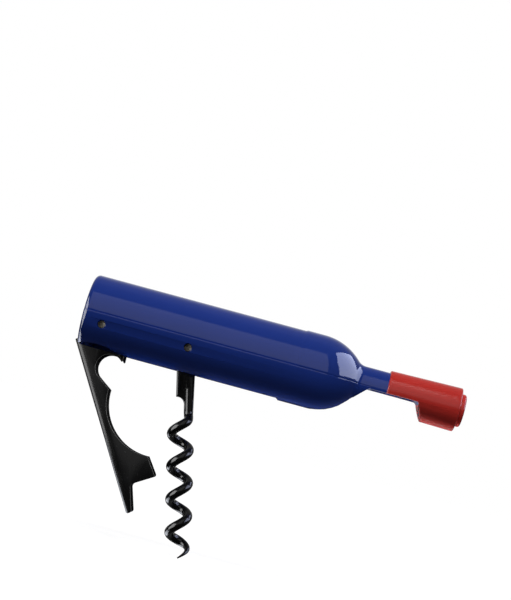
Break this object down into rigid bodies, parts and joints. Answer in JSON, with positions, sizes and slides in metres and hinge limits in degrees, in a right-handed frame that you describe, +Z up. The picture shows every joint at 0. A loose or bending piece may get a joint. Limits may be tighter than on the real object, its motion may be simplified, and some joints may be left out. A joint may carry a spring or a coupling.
{
  "type": "wine bottle opener",
  "caption": "Folding pocket wine bottle opener in a case shaped like a small bottle, with a corkscrew worm and a channel lever that has a rim seat and a crown cap lifter, both hinged on pins.",
  "frame": {"origin": "centre of the base's end face, on the seam between the shells", "axes": "+X along the case from the base to the neck, +Y along the pins, +Z up out of the closed back of the case, so the slot, the lever and the worm are towards -Z"},
  "size_m": [0.1215, 0.0242, 0.0782],
  "materials": {
    "case_blue": "gloss",
    "sleeve_red": "semi-gloss",
    "lever_black": "satin black coating",
    "worm_black": "satin black coating",
    "pin_steel": "dull"
  },
  "bodies": {
    "case": {"upper_shell": "case_blue", "lower_shell": "case_blue", "neck_cap": "sleeve_red", "lever_pin": "pin_steel", "worm_pin": "pin_steel"},
    "lever": {"lever": "lever_black"},
    "worm": {"worm": "worm_black"}
  },
  "joints": [
    {"name": "lever_fold", "type": "hinge", "parent": "case", "child": "lever", "pos_m": [0.0065, 0, -0.00335], "axis": [0, -1, 0], "range_deg": [0, 58.15]},
    {"name": "worm_fold", "type": "hinge", "parent": "case", "child": "worm", "pos_m": [0.0338, 0, -0.00335], "axis": [0, -1, 0], "range_deg": [0, 76]}
  ],
  "couplings": [
    {"joint": "worm_fold", "follows": "lever_fold", "ratio": 1.3069}
  ]
}
